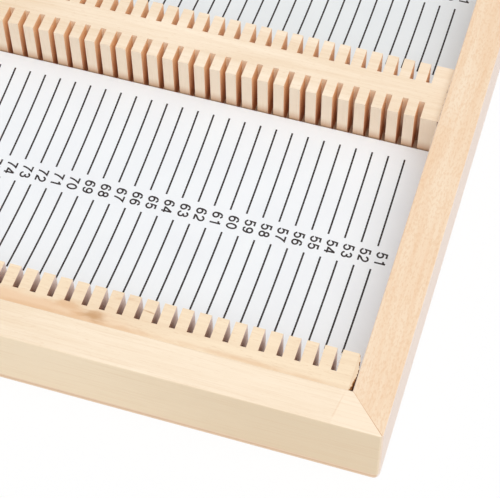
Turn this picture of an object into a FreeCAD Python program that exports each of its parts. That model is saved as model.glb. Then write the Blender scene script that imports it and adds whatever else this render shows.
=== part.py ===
import FreeCAD, Part
# Storage box for one hundred microscope slides, standing open with its lid laid back behind it.
# Two columns of fifty slots run along X. Sizes are millimetres. The origin is the centre of the base's
# underside, X runs along the box, Y points from the latch side to the hinge side and Z points up.
# Every piece is an object of its own, bound to the sheet of driving sizes.
import os
import Sketcher
from FreeCAD import Placement, Rotation, Vector

SIZES = {
    # slides and their slots
    "slot_count": 50,
    "slot_pitch": 3.95,
    "rail_slot_width": 1.3,
    "divider_slot_width": 1.4,
    "slide_span": 77.0,
    "end_margin": 5.1,
    # combs and divider
    "core_thickness": 6.0,
    "divider_front_depth": 4.8,
    "divider_back_depth": 5.7,
    "divider_height": 14.5,
    "rail_backing": 3.7,
    "rail_slot_depth": 5.5,
    "rim_drop": 0.3,
    "end_gap": 0.4,
    "sawn_end_gap": 1.0,
    # base and lid
    "wall_thickness": 8.8,
    "panel_thickness": 1.6,
    "base_wall_height": 16.7,
    "lid_wall_height": 13.1,
    "lid_gap": 0.3,
    "eased_edge": 0.4,
    "eased_corner": 0.6,
    "panel_corner_radius": 1.5,
    # paper index sheets
    "sheet_thickness": 0.2,
    "sheet_rise": 3.0,
    "sheet_gap": 0.3,
    "sheet_lift": 0.05,
    "lid_sheet_margin": 6.0,
    # hinges
    "hinge_spacing": 130.0,
    "hinge_length": 24.0,
    "leaf_height": 9.0,
    "leaf_thickness": 0.9,
    "leaf_clearance": 0.15,
    "knuckle_radius": 1.5,
    "knuckle_length": 7.6,
    "knuckle_gap": 0.2,
    "pin_radius": 0.65,
    "pin_overhang": 0.4,
    "running_gap": 0.05,
    "seat_gap": 0.25,
    # hinge screws
    "screw_spacing": 15.0,
    "screw_radius": 0.8,
    "screw_length": 6.0,
    "screw_head_radius": 1.5,
    "screw_slot_width": 0.4,
    "screw_slot_depth": 0.45,
    "pilot_gap": 0.05,
    # latch
    "latch_rise": 4.5,
    "latch_drop": 4.2,
    "plate_length": 13.0,
    "plate_height": 6.0,
    "plate_thickness": 0.8,
    "plate_screw_spacing": 9.0,
    "hook_thickness": 1.0,
    "hook_gap": 0.1,
    "hook_boss_radius": 2.3,
    "hook_arm_width": 3.0,
    "hook_end_radius": 2.6,
    "hook_tab_length": 1.6,
    "hook_tab_width": 2.2,
    "rivet_radius": 0.9,
    "rivet_head_radius": 1.7,
    "rivet_head_height": 0.8,
    "stud_radius": 0.9,
    "stud_head_radius": 1.9,
    "stud_head_height": 0.9,
    "stud_collar_radius": 1.7,
    "stud_collar_height": 0.6,
    "notch_gap": 0.3,
}

INNER_LENGTH = "(Sizes.slot_pitch * (Sizes.slot_count - 1) + 2 * Sizes.end_margin)"
OUTER_LENGTH = f"({INNER_LENGTH} + 2 * Sizes.wall_thickness)"
INNER_WIDTH = "(Sizes.core_thickness + 2 * Sizes.slide_span + 2 * Sizes.rail_backing)"
OUTER_WIDTH = f"({INNER_WIDTH} + 2 * Sizes.wall_thickness)"
RIM_Z = "(Sizes.panel_thickness + Sizes.base_wall_height)"
RAIL_WIDTH = "(Sizes.rail_backing + Sizes.rail_slot_depth)"

# the hinge axis lies just outside the back wall, halfway up the gap between base and lid
AXIS_OFFSET = "(Sizes.leaf_thickness + Sizes.leaf_clearance)"
AXIS_Y = f"({OUTER_WIDTH} / 2 + {AXIS_OFFSET})"
AXIS_Z = f"({RIM_Z} + Sizes.lid_gap / 2)"
KNUCKLE_RELIEF = "(Sizes.knuckle_radius + Sizes.seat_gap)"

# the open lid is the closed lid turned half a turn about the hinge axis
LID_Y = f"(2 * {AXIS_Y})"
LID_Z = f"({RIM_Z} - Sizes.lid_wall_height - Sizes.panel_thickness)"

# heights on a wall, measured down from its rim
SCREW_DROP = f"((Sizes.leaf_height + {KNUCKLE_RELIEF}) / 2 - Sizes.lid_gap / 2)"
HOOK_REACH = "(Sizes.latch_rise + Sizes.lid_gap + Sizes.latch_drop)"

QUARTER_TURN = 90
UPRIGHT = Rotation()
ABOUT_Z = Vector(0, 0, 1)
ALONG_X = Rotation(Vector(0, 1, 0), QUARTER_TURN)
TOWARDS_BACK = Rotation(Vector(1, 0, 0), -QUARTER_TURN)
TOWARDS_FRONT = Rotation(Vector(1, 0, 0), QUARTER_TURN)

doc = FreeCAD.newDocument("slide_box")
pieces = []


def fill_sheet():
    """Write the driving sizes into the sheet, one alias to a row."""
    sheet = doc.addObject("Spreadsheet::Sheet", "Sizes")
    for row, (name, value) in enumerate(SIZES.items(), start=1):
        sheet.set(f"A{row}", name)
        sheet.set(f"B{row}", str(value))
        sheet.setAlias(f"B{row}", name)
    doc.recompute()


def bind(obj, expressions):
    """Tie each named property of an object to its expression."""
    for name, expression in expressions.items():
        obj.setExpression(name, expression)


def place(obj, x, y, z, rotation=UPRIGHT):
    """Turn an object, then tie its position to three expressions."""
    obj.Placement = Placement(Vector(), rotation)
    bind(obj, {"Placement.Base.x": x, "Placement.Base.y": y, "Placement.Base.z": z})
    return obj


def keep(obj, label):
    """Name an object as a finished piece of the box."""
    obj.Label = label
    pieces.append(obj)
    return obj


# ---- sketches and bodies ----


def new_body(label):
    """Start a body that is one finished piece."""
    return keep(doc.addObject("PartDesign::Body", label), label)


def new_sketch(body, name, role):
    """Attach an empty sketch to one of the body's own origin planes."""
    plane = next(item for item in body.Origin.OriginFeatures if item.Role == role)
    sketch = body.newObject("Sketcher::SketchObject", f"{body.Name}_{name}")
    sketch.AttachmentSupport = [(plane, "")]
    sketch.MapMode = "FlatFace"
    return sketch


def dimension(sketch, name, constraint, expression):
    """Add a driving dimension and tie it to an expression."""
    index = sketch.addConstraint(constraint)
    sketch.renameConstraint(index, name)
    sketch.setExpression(f"Constraints.{name}", expression)


def draw_loop(sketch, corners):
    """Draw a closed loop of straight lines through the corners and return the first line's index."""
    first = sketch.GeometryCount
    count = len(corners)
    for start, end in zip(corners, corners[1:] + corners[:1]):
        sketch.addGeometry(Part.LineSegment(Vector(*start, 0), Vector(*end, 0)))
    for step in range(count):
        following = first + (step + 1) % count
        sketch.addConstraint(Sketcher.Constraint("Coincident", first + step, 2, following, 1))
    return first


def draw_rectangle(sketch, name, width, height, left="0", bottom="0"):
    """Draw a rectangle whose size and lower left corner are expressions."""
    bottom_line = draw_loop(sketch, [(1, 1), (2, 1), (2, 2), (1, 2)])
    right_line, top_line, left_line = bottom_line + 1, bottom_line + 2, bottom_line + 3
    for line in (bottom_line, top_line):
        sketch.addConstraint(Sketcher.Constraint("Horizontal", line))
    for line in (right_line, left_line):
        sketch.addConstraint(Sketcher.Constraint("Vertical", line))
    across = Sketcher.Constraint("DistanceX", bottom_line, 1, bottom_line, 2, 1)
    dimension(sketch, f"{name}_width", across, width)
    upward = Sketcher.Constraint("DistanceY", right_line, 1, right_line, 2, 1)
    dimension(sketch, f"{name}_height", upward, height)
    dimension(sketch, f"{name}_left", Sketcher.Constraint("DistanceX", -1, 1, bottom_line, 1, 1), left)
    dimension(sketch, f"{name}_bottom", Sketcher.Constraint("DistanceY", -1, 1, bottom_line, 1, 1), bottom)


def draw_circle(sketch, name, radius, across, up):
    """Draw a circle whose radius and centre are expressions."""
    circle = sketch.addGeometry(Part.Circle(Vector(1, 1, 0), ABOUT_Z, 1))
    dimension(sketch, f"{name}_radius", Sketcher.Constraint("Radius", circle, 1), radius)
    dimension(sketch, f"{name}_across", Sketcher.Constraint("DistanceX", -1, 1, circle, 3, 1), across)
    dimension(sketch, f"{name}_up", Sketcher.Constraint("DistanceY", -1, 1, circle, 3, 1), up)


def pad(body, sketch, length):
    """Raise a sketch into a solid."""
    feature = body.newObject("PartDesign::Pad", f"{sketch.Name}_pad")
    feature.Profile = sketch
    feature.setExpression("Length", length)
    doc.recompute()
    return feature


def pocket(body, sketch, depth):
    """Cut a sketch into the body and make sure that it removed something."""
    before = body.Shape.Volume
    feature = body.newObject("PartDesign::Pocket", f"{sketch.Name}_pocket")
    feature.Profile = sketch
    feature.setExpression("Length", depth)
    doc.recompute()
    if body.Shape.Volume >= before:
        raise RuntimeError(f"{feature.Name} cuts nothing")
    return feature


def repeat_along_x(body, feature, count, length):
    """Repeat a feature in a straight row."""
    axis = next(item for item in body.Origin.OriginFeatures if item.Role == "X_Axis")
    pattern = body.newObject("PartDesign::LinearPattern", f"{feature.Name}_row")
    pattern.Originals = [feature]
    pattern.Direction = (axis, [""])
    pattern.setExpression("Occurrences", count)
    pattern.setExpression("Length", length)
    body.Tip = pattern
    doc.recompute()
    return pattern


def round_edges(body, feature, chosen, radius):
    """Round the edges of a feature whose bounding boxes are chosen."""
    names = [f"Edge{number}" for number, edge in enumerate(feature.Shape.Edges, start=1)
             if chosen(edge.BoundBox)]
    fillet = body.newObject("PartDesign::Fillet", f"{body.Name}_eased")
    fillet.Base = (feature, names)
    fillet.setExpression("Radius", radius)
    doc.recompute()


def ease_long_edges(body, feature):
    """Round the two long upper edges of a wall, found as the top edges that run along X."""
    top = feature.Shape.BoundBox.ZMax
    tiny = Part.Precision.confusion()
    round_edges(body, feature, lambda box: abs(box.ZMin - top) < tiny and box.YLength < tiny,
                "Sizes.eased_edge")


def round_upright_edges(body, feature):
    """Round the four upright edges of a panel."""
    tiny = Part.Precision.confusion()
    round_edges(body, feature, lambda box: box.XLength < tiny and box.YLength < tiny,
                "Sizes.panel_corner_radius")


# ---- primitives ----


def box(name, length, width, height, x="0", y="0", z="0"):
    """A block, placed by its lowest corner."""
    block = doc.addObject("Part::Box", name)
    bind(block, {"Length": length, "Width": width, "Height": height})
    return place(block, x, y, z)


def cylinder(name, radius, length, x="0", y="0", z="0", rotation=UPRIGHT):
    """A round bar, placed by the centre of its first end."""
    bar = doc.addObject("Part::Cylinder", name)
    bind(bar, {"Radius": radius, "Height": length})
    return place(bar, x, y, z, rotation)


def cone(name, first_radius, second_radius, length, x, y, z, rotation):
    """A tapered bar, placed by the centre of its first end."""
    taper = doc.addObject("Part::Cone", name)
    bind(taper, {"Radius1": first_radius, "Radius2": second_radius, "Height": length})
    return place(taper, x, y, z, rotation)


def fuse(name, shapes):
    """Join shapes into one solid."""
    joined = doc.addObject("Part::MultiFuse", name)
    joined.Shapes = shapes
    joined.Refine = True
    return joined


def cut(name, base, tools):
    """Take one or more shapes away from a base."""
    removed = tools[0] if len(tools) == 1 else fuse(f"{name}_tools", tools)
    result = doc.addObject("Part::Cut", name)
    result.Base = base
    result.Tool = removed
    return result


def group(label, shapes):
    """Collect separate identical pieces in one node."""
    compound = doc.addObject("Part::Compound", label)
    compound.Links = shapes
    return keep(compound, label)


# ---- box and lid shells ----


def mitred_wall(label, length, height, position, quarter_turns):
    """A wall with mitred ends and eased outer corners: its outer face is local y = 0, from local x = 0."""
    body = new_body(label)
    sketch = new_sketch(body, "outline", "XY_Plane")
    outer = draw_loop(sketch, [(1, 0), (9, 0), (9.5, 0.5), (7, 3), (3, 3), (0.5, 0.5)])
    right_ease, right, inner, left, left_ease = range(outer + 1, outer + 6)
    sketch.addConstraint(Sketcher.Constraint("PointOnObject", outer, 1, -1))
    sketch.addConstraint(Sketcher.Constraint("Horizontal", outer))
    sketch.addConstraint(Sketcher.Constraint("Horizontal", inner))
    ease, half_ease = "Sizes.eased_corner", "Sizes.eased_corner / 2"
    mitre = f"Sizes.wall_thickness - {half_ease}"
    sides = {
        "start": ("DistanceX", (-1, 1, outer, 1), ease),
        "length": ("DistanceX", (outer, 1, outer, 2), f"{length} - 2 * {ease}"),
        "right_ease_x": ("DistanceX", (right_ease, 1, right_ease, 2), half_ease),
        "right_ease_y": ("DistanceY", (right_ease, 1, right_ease, 2), half_ease),
        "right_mitre_x": ("DistanceX", (right, 2, right, 1), mitre),
        "right_mitre_y": ("DistanceY", (right, 1, right, 2), mitre),
        "left_mitre_x": ("DistanceX", (left, 2, left, 1), mitre),
        "left_ease_x": ("DistanceX", (left_ease, 1, left_ease, 2), half_ease),
        "left_ease_y": ("DistanceY", (left_ease, 2, left_ease, 1), half_ease),
    }
    for name, (kind, ends, size) in sides.items():
        dimension(sketch, name, Sketcher.Constraint(kind, *ends, 1), size)
    ease_long_edges(body, pad(body, sketch, height))
    place(body, *position, Rotation(ABOUT_Z, QUARTER_TURN * quarter_turns))
    return body


def shell(prefix, names, centre_y, bottom_z, wall_height):
    """A panel with four mitred walls standing on it: walls are named anticlockwise from the low-Y side."""
    body = new_body(f"{prefix}_panel")
    sketch = new_sketch(body, "outline", "XY_Plane")
    draw_rectangle(sketch, "panel", OUTER_LENGTH, OUTER_WIDTH)
    round_upright_edges(body, pad(body, sketch, "Sizes.panel_thickness"))
    place(body, f"-{OUTER_LENGTH} / 2", f"{centre_y} - {OUTER_WIDTH} / 2", bottom_z)
    low_x, high_x = f"-{OUTER_LENGTH} / 2", f"{OUTER_LENGTH} / 2"
    low_y, high_y = f"{centre_y} - {OUTER_WIDTH} / 2", f"{centre_y} + {OUTER_WIDTH} / 2"
    wall_z = f"{bottom_z} + Sizes.panel_thickness"
    corners = [(low_x, low_y), (high_x, low_y), (high_x, high_y), (low_x, high_y)]
    walls = {}
    for turns, (name, (x, y)) in enumerate(zip(names, corners)):
        length = OUTER_WIDTH if turns % 2 else OUTER_LENGTH
        label = f"{prefix}_{name}_wall"
        walls[name] = mitred_wall(label, length, wall_height, (x, y, wall_z), turns)
    return walls


def hinge_seats(wall, wall_height):
    """Recess a back wall's rim for the two knuckles and drill it for the hinge screws."""
    seats = new_sketch(wall, "seats", "XZ_Plane")
    holes = new_sketch(wall, "pilots", "XZ_Plane")
    seat_length = "(Sizes.hinge_length + 2 * (Sizes.pin_overhang + Sizes.seat_gap))"
    seat_height = f"({KNUCKLE_RELIEF} - Sizes.lid_gap / 2)"
    for name, sign in (("left", "-"), ("right", "+")):
        centre = f"({OUTER_LENGTH} / 2 {sign} Sizes.hinge_spacing / 2)"
        draw_rectangle(seats, name, seat_length, seat_height,
                       f"{centre} - {seat_length} / 2", f"{wall_height} - {seat_height}")
        for side, step in (("a", "-"), ("b", "+")):
            draw_circle(holes, f"{name}_{side}", "Sizes.screw_radius + Sizes.pilot_gap",
                        f"{centre} {step} Sizes.screw_spacing / 2", f"{wall_height} - {SCREW_DROP}")
    pocket(wall, seats, f"{KNUCKLE_RELIEF} - {AXIS_OFFSET}")
    pocket(wall, holes, "Sizes.screw_length")


def drill_wall(wall, name, holes, depth):
    """Drill a wall from its outer face: each hole is its radius, place along the wall and height."""
    sketch = new_sketch(wall, name, "XZ_Plane")
    for number, (radius, across, up) in enumerate(holes):
        draw_circle(sketch, f"hole_{number}", f"{radius} + Sizes.pilot_gap", across, up)
    pocket(wall, sketch, depth)


# ---- combs, divider and paper ----


def slotted_rail(label, length, width, height, slot_width, slots):
    """A block with rows of slots sawn through its height: each row is its depth and its local y."""
    body = new_body(label)
    outline = new_sketch(body, "outline", "XY_Plane")
    draw_rectangle(outline, "rail", length, width)
    pad(body, outline, height)
    cuts = new_sketch(body, "slots", "XY_Plane")
    first_slot = f"Sizes.end_margin - Sizes.end_gap - {slot_width} / 2"
    for number, (depth, y) in enumerate(slots):
        draw_rectangle(cuts, f"slot_{number}", slot_width, depth, first_slot, y)
    slot = body.newObject("PartDesign::Pocket", f"{label}_slot")
    slot.Profile = cuts
    slot.Type = "ThroughAll"
    slot.Reversed = True
    doc.recompute()
    row_length = "Sizes.slot_pitch * (Sizes.slot_count - 1)"
    before = body.Shape.Volume
    repeat_along_x(body, slot, "Sizes.slot_count", row_length)
    if body.Shape.Volume >= before:
        raise RuntimeError(f"the slots of {label} cut nothing")
    return body


def index_sheet(label, width, x, y):
    """A paper sheet a little too wide for its column, so that it lies bowed with both long edges up."""
    length = f"({INNER_LENGTH} - 2 * Sizes.sheet_gap)"
    bow_radius = f"((({width} / 2) ^ 2 + Sizes.sheet_rise ^ 2) / (2 * Sizes.sheet_rise))"
    centre = f"{width} / 2"
    lower = cylinder(f"{label}_lower", bow_radius, length, "0", centre, bow_radius, ALONG_X)
    upper = cylinder(f"{label}_upper", f"{bow_radius} - Sizes.sheet_thickness", length,
                     "0", centre, bow_radius, ALONG_X)
    bow = cut(f"{label}_bow", lower, [upper])
    trim = box(f"{label}_trim", length, width, "Sizes.sheet_rise + Sizes.sheet_thickness")
    sheet = doc.addObject("Part::Common", label)
    sheet.Base = bow
    sheet.Tool = trim
    place(sheet, x, y, "Sizes.panel_thickness + Sizes.sheet_lift")
    return keep(sheet, label)


def fit_slide_columns():
    """Stand the combs and the divider on the base panel and lay an index sheet in each column."""
    comb_height = "Sizes.base_wall_height - Sizes.rim_drop"
    left_x = f"-{INNER_LENGTH} / 2 + Sizes.end_gap"
    comb_slot = [("Sizes.rail_slot_depth", "Sizes.rail_backing")]
    front = slotted_rail("front_comb", f"{INNER_LENGTH} - Sizes.end_gap - Sizes.sawn_end_gap",
                         RAIL_WIDTH, comb_height, "Sizes.rail_slot_width", comb_slot)
    place(front, left_x, f"-{INNER_WIDTH} / 2", "Sizes.panel_thickness")
    back = slotted_rail("back_comb", f"{INNER_LENGTH} - 2 * Sizes.end_gap",
                        RAIL_WIDTH, comb_height, "Sizes.rail_slot_width", comb_slot)
    place(back, f"{INNER_LENGTH} / 2 - Sizes.end_gap", f"{INNER_WIDTH} / 2", "Sizes.panel_thickness",
          Rotation(ABOUT_Z, 2 * QUARTER_TURN))

    front_tips = "Sizes.core_thickness / 2 + Sizes.divider_front_depth"
    back_tips = "Sizes.core_thickness / 2 + Sizes.divider_back_depth"
    back_slot_y = "Sizes.divider_front_depth + Sizes.core_thickness"
    divider = slotted_rail("centre_divider", f"{INNER_LENGTH} - 2 * Sizes.end_gap",
                           f"{front_tips} + {back_tips}", "Sizes.divider_height",
                           "Sizes.divider_slot_width",
                           [("Sizes.divider_front_depth", "0"), ("Sizes.divider_back_depth", back_slot_y)])
    place(divider, left_x, f"-({front_tips})", "Sizes.panel_thickness")

    comb_tips = f"({INNER_WIDTH} / 2 - {RAIL_WIDTH})"
    sheet_x = f"-{INNER_LENGTH} / 2 + Sizes.sheet_gap"
    index_sheet("index_sheet_front", f"({comb_tips} - ({front_tips}) - 2 * Sizes.sheet_gap)",
                sheet_x, f"-{comb_tips} + Sizes.sheet_gap")
    index_sheet("index_sheet_back", f"({comb_tips} - ({back_tips}) - 2 * Sizes.sheet_gap)",
                sheet_x, f"{back_tips} + Sizes.sheet_gap")


def fit_lid_sheet():
    """Lay the flat index sheet against the inside of the lid panel."""
    sheet = box("lid_index_sheet", f"{INNER_LENGTH} - 2 * Sizes.lid_sheet_margin",
                f"{INNER_WIDTH} - 2 * Sizes.lid_sheet_margin", "Sizes.sheet_thickness",
                f"-{INNER_LENGTH} / 2 + Sizes.lid_sheet_margin",
                f"{LID_Y} - {INNER_WIDTH} / 2 + Sizes.lid_sheet_margin",
                f"{LID_Z} + Sizes.panel_thickness + Sizes.sheet_lift")
    keep(sheet, "lid_index_sheet")


# ---- hinges ----


def hinge_leaf(label, knuckles, centre_x, turned):
    """A leaf below the hinge axis with its knuckles, each a start along the hinge and a length."""
    wall_face = f"-{AXIS_OFFSET}"
    solids = [box(f"{label}_plate", "Sizes.hinge_length", "Sizes.leaf_thickness",
                  f"Sizes.leaf_height - {KNUCKLE_RELIEF}", "0", wall_face, "-Sizes.leaf_height")]
    for number, (start, length) in enumerate(knuckles):
        solids.append(box(f"{label}_neck_{number}", length, "Sizes.leaf_thickness", KNUCKLE_RELIEF,
                          start, wall_face, f"-{KNUCKLE_RELIEF}"))
        solids.append(cylinder(f"{label}_knuckle_{number}", "Sizes.knuckle_radius", length,
                               start, "0", "0", ALONG_X))
    tools = [cylinder(f"{label}_bore", "Sizes.pin_radius + Sizes.running_gap", "Sizes.hinge_length",
                      "0", "0", "0", ALONG_X)]
    hole_z = f"-(Sizes.leaf_height + {KNUCKLE_RELIEF}) / 2"
    for side, step in (("a", "-"), ("b", "+")):
        hole_x = f"Sizes.hinge_length / 2 {step} Sizes.screw_spacing / 2"
        tools.append(cone(f"{label}_sink_{side}", "Sizes.screw_radius + Sizes.pilot_gap",
                          "Sizes.screw_head_radius + Sizes.pilot_gap", "Sizes.leaf_thickness",
                          hole_x, wall_face, hole_z, TOWARDS_BACK))
    leaf = cut(label, fuse(f"{label}_blank", solids), tools)
    if turned:
        turn = Rotation(ABOUT_Z, 2 * QUARTER_TURN)
        place(leaf, f"{centre_x} + Sizes.hinge_length / 2", AXIS_Y, AXIS_Z, turn)
    else:
        place(leaf, f"{centre_x} - Sizes.hinge_length / 2", AXIS_Y, AXIS_Z)
    return keep(leaf, label)


def countersunk_screw(name, head_height):
    """A slotted screw along Y: its head stands on local y = 0 and its shank goes the other way."""
    head = cone(f"{name}_head", "Sizes.screw_radius", "Sizes.screw_head_radius", head_height,
                "0", "0", "0", TOWARDS_BACK)
    shank = cylinder(f"{name}_shank", "Sizes.screw_radius", "Sizes.screw_length - Sizes.pilot_gap",
                     rotation=TOWARDS_FRONT)
    slot = box(f"{name}_slot", "2 * Sizes.screw_head_radius", "Sizes.screw_slot_depth",
               "Sizes.screw_slot_width", "-Sizes.screw_head_radius",
               f"{head_height} - Sizes.screw_slot_depth", "-Sizes.screw_slot_width / 2")
    return cut(name, fuse(f"{name}_blank", [head, shank]), [slot])


def hinge_screw(name, x, turned):
    """A screw through a leaf into a wall, its head flush with the outside of the leaf."""
    screw = countersunk_screw(name, "Sizes.leaf_thickness")
    wall_face = f"{AXIS_Y} + {AXIS_OFFSET}" if turned else f"{AXIS_Y} - {AXIS_OFFSET}"
    turn = Rotation(ABOUT_Z, 2 * QUARTER_TURN if turned else 0)
    return place(screw, x, wall_face, f"{RIM_Z} - {SCREW_DROP}", turn)


def fit_hinges():
    """Fit the two hinges: base leaf with two outer knuckles, lid leaf with the middle one, and a pin."""
    outer_knuckles = [("0", "Sizes.knuckle_length"),
                      ("Sizes.hinge_length - Sizes.knuckle_length", "Sizes.knuckle_length")]
    middle_start = "(Sizes.knuckle_length + Sizes.knuckle_gap)"
    middle_knuckle = [(middle_start, f"Sizes.hinge_length - 2 * {middle_start}")]
    base_screws = []
    lid_screws = []
    for side, sign in (("left", "-"), ("right", "+")):
        centre_x = f"({sign}1 * Sizes.hinge_spacing / 2)"
        hinge_leaf(f"{side}_hinge_base_leaf", outer_knuckles, centre_x, turned=False)
        hinge_leaf(f"{side}_hinge_lid_leaf", middle_knuckle, centre_x, turned=True)
        pin = cylinder(f"{side}_hinge_pin", "Sizes.pin_radius",
                       "Sizes.hinge_length + 2 * Sizes.pin_overhang",
                       f"{centre_x} - Sizes.hinge_length / 2 - Sizes.pin_overhang", AXIS_Y, AXIS_Z, ALONG_X)
        keep(pin, f"{side}_hinge_pin")
        for end, step in (("a", "-"), ("b", "+")):
            screw_x = f"{centre_x} {step} Sizes.screw_spacing / 2"
            base_screws.append(hinge_screw(f"base_screw_{side}_{end}", screw_x, turned=False))
            lid_screws.append(hinge_screw(f"lid_screw_{side}_{end}", screw_x, turned=True))
    group("hinge_base_screws", base_screws)
    group("hinge_lid_screws", lid_screws)


# ---- latch ----


def fit_latch():
    """Fit the swivelling hook to the lid's front wall and its catch stud to the base's front wall."""
    lid_face = f"({LID_Y} + {OUTER_WIDTH} / 2)"
    pivot_z = f"({RIM_Z} - Sizes.latch_rise)"
    plate_blank = box("latch_plate_blank", "Sizes.plate_length", "Sizes.plate_thickness",
                      "Sizes.plate_height", "-Sizes.plate_length / 2", "0", "-Sizes.plate_height / 2")
    holes = [cylinder("latch_plate_rivet_hole", "Sizes.rivet_radius + Sizes.pilot_gap",
                      "Sizes.plate_thickness", rotation=TOWARDS_BACK)]
    screws = []
    for side, step in (("a", "-"), ("b", "+")):
        hole_x = f"{step}1 * Sizes.plate_screw_spacing / 2"
        holes.append(cone(f"latch_plate_sink_{side}", "Sizes.screw_radius + Sizes.pilot_gap",
                          "Sizes.screw_head_radius + Sizes.pilot_gap", "Sizes.plate_thickness",
                          hole_x, "0", "0", TOWARDS_BACK))
        screw = countersunk_screw(f"latch_screw_{side}", "Sizes.plate_thickness")
        screws.append(place(screw, hole_x, lid_face, pivot_z))
    plate = cut("latch_plate", plate_blank, holes)
    keep(place(plate, "0", lid_face, pivot_z), "latch_plate")
    group("latch_plate_screws", screws)

    # the hook hangs from its rivet, its notch open towards -X
    end_z = f"-{HOOK_REACH}"
    tab_z = f"-({HOOK_REACH} + Sizes.hook_end_radius + Sizes.hook_tab_length)"
    blank = fuse("latch_hook_blank", [
        cylinder("latch_hook_boss", "Sizes.hook_boss_radius", "Sizes.hook_thickness",
                 rotation=TOWARDS_BACK),
        box("latch_hook_arm", "Sizes.hook_arm_width", "Sizes.hook_thickness", HOOK_REACH,
            "-Sizes.hook_arm_width / 2", "0", end_z),
        cylinder("latch_hook_end", "Sizes.hook_end_radius", "Sizes.hook_thickness", z=end_z,
                 rotation=TOWARDS_BACK),
        box("latch_hook_tab", "Sizes.hook_tab_width", "Sizes.hook_thickness",
            "Sizes.hook_tab_length + Sizes.hook_end_radius", "-Sizes.hook_tab_width / 2", "0", tab_z),
    ])
    notch_radius = "(Sizes.stud_radius + Sizes.notch_gap)"
    hook = cut("latch_hook", blank, [
        cylinder("latch_hook_hole", "Sizes.rivet_radius + Sizes.running_gap", "Sizes.hook_thickness",
                 rotation=TOWARDS_BACK),
        cylinder("latch_hook_notch_end", notch_radius, "Sizes.hook_thickness", z=end_z,
                 rotation=TOWARDS_BACK),
        box("latch_hook_notch", "Sizes.hook_end_radius", "Sizes.hook_thickness", f"2 * {notch_radius}",
            "-Sizes.hook_end_radius", "0", f"{end_z} - {notch_radius}"),
    ])
    keep(place(hook, "0", f"{lid_face} + Sizes.plate_thickness + Sizes.hook_gap", pivot_z), "latch_hook")

    rivet_length = "(Sizes.plate_thickness + Sizes.hook_thickness + 2 * Sizes.hook_gap)"
    rivet = fuse("latch_rivet", [
        cylinder("latch_rivet_shank", "Sizes.rivet_radius", f"Sizes.screw_length + {rivet_length}",
                 y="-Sizes.screw_length", rotation=TOWARDS_BACK),
        cylinder("latch_rivet_head", "Sizes.rivet_head_radius", "Sizes.rivet_head_height",
                 y=rivet_length, rotation=TOWARDS_BACK),
    ])
    keep(place(rivet, "0", lid_face, pivot_z), "latch_rivet")

    stud = fuse("catch_stud", [
        cylinder("catch_stud_shank", "Sizes.stud_radius", f"Sizes.screw_length + {rivet_length}",
                 y="Sizes.screw_length", rotation=TOWARDS_FRONT),
        cylinder("catch_stud_collar", "Sizes.stud_collar_radius", "Sizes.stud_collar_height",
                 rotation=TOWARDS_FRONT),
        cylinder("catch_stud_head", "Sizes.stud_head_radius", "Sizes.stud_head_height",
                 y=f"-{rivet_length}", rotation=TOWARDS_FRONT),
    ])
    keep(place(stud, "0", f"-{OUTER_WIDTH} / 2", f"{RIM_Z} - Sizes.latch_drop"), "catch_stud")


def drill_for_latch(lid_front_wall, base_front_wall):
    """Drill the two front walls for the latch's rivet, screws and stud."""
    middle = f"{OUTER_LENGTH} / 2"
    height = "Sizes.lid_wall_height - Sizes.latch_rise"
    drill_wall(lid_front_wall, "latch_holes", [
        ("Sizes.rivet_radius", middle, height),
        ("Sizes.screw_radius", f"{middle} - Sizes.plate_screw_spacing / 2", height),
        ("Sizes.screw_radius", f"{middle} + Sizes.plate_screw_spacing / 2", height),
    ], "Sizes.screw_length + Sizes.pilot_gap")
    drill_wall(base_front_wall, "catch_hole", [
        ("Sizes.stud_radius", middle, "Sizes.base_wall_height - Sizes.latch_drop"),
    ], "Sizes.screw_length + Sizes.pilot_gap")


def check_document():
    """Stop if any object failed to rebuild or any piece has no sound shape."""
    for obj in doc.Objects:
        if "Invalid" in obj.State or "Error" in obj.State:
            raise RuntimeError(f"{obj.Label} failed to rebuild: {obj.State}")
    for piece in pieces:
        if piece.Shape.isNull() or not piece.Shape.isValid():
            raise RuntimeError(f"{piece.Label} has no sound shape")


def export_pieces():
    """Write each piece to its own file."""
    os.makedirs("parts", exist_ok=True)
    for piece in pieces:
        piece.Shape.exportStep(f"parts/{piece.Label}.step")


fill_sheet()
base_walls = shell("base", ("front", "right", "back", "left"), "0", "0", "Sizes.base_wall_height")
lid_walls = shell("lid", ("back", "right", "front", "left"), LID_Y, LID_Z, "Sizes.lid_wall_height")
hinge_seats(base_walls["back"], "Sizes.base_wall_height")
hinge_seats(lid_walls["back"], "Sizes.lid_wall_height")
drill_for_latch(lid_walls["front"], base_walls["front"])
fit_slide_columns()
fit_lid_sheet()
fit_hinges()
fit_latch()
doc.recompute()
check_document()
export_pieces()
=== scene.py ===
"""The looks of a hinged wooden slide box that lies open on a pale floor.

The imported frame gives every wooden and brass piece. This script adds the index sheets with their printed
rules and numbers, the rough sawn end of the front comb, the loose fibres in its slots and the written table
in the lid, and it gives every piece its finish. Sizes are in metres.
"""

import logging
import math
import random
from dataclasses import dataclass, field, replace
from enum import Enum
from functools import cached_property
from typing import Any, Callable

import bmesh
import bpy
from mathutils import Matrix, Vector, noise


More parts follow.
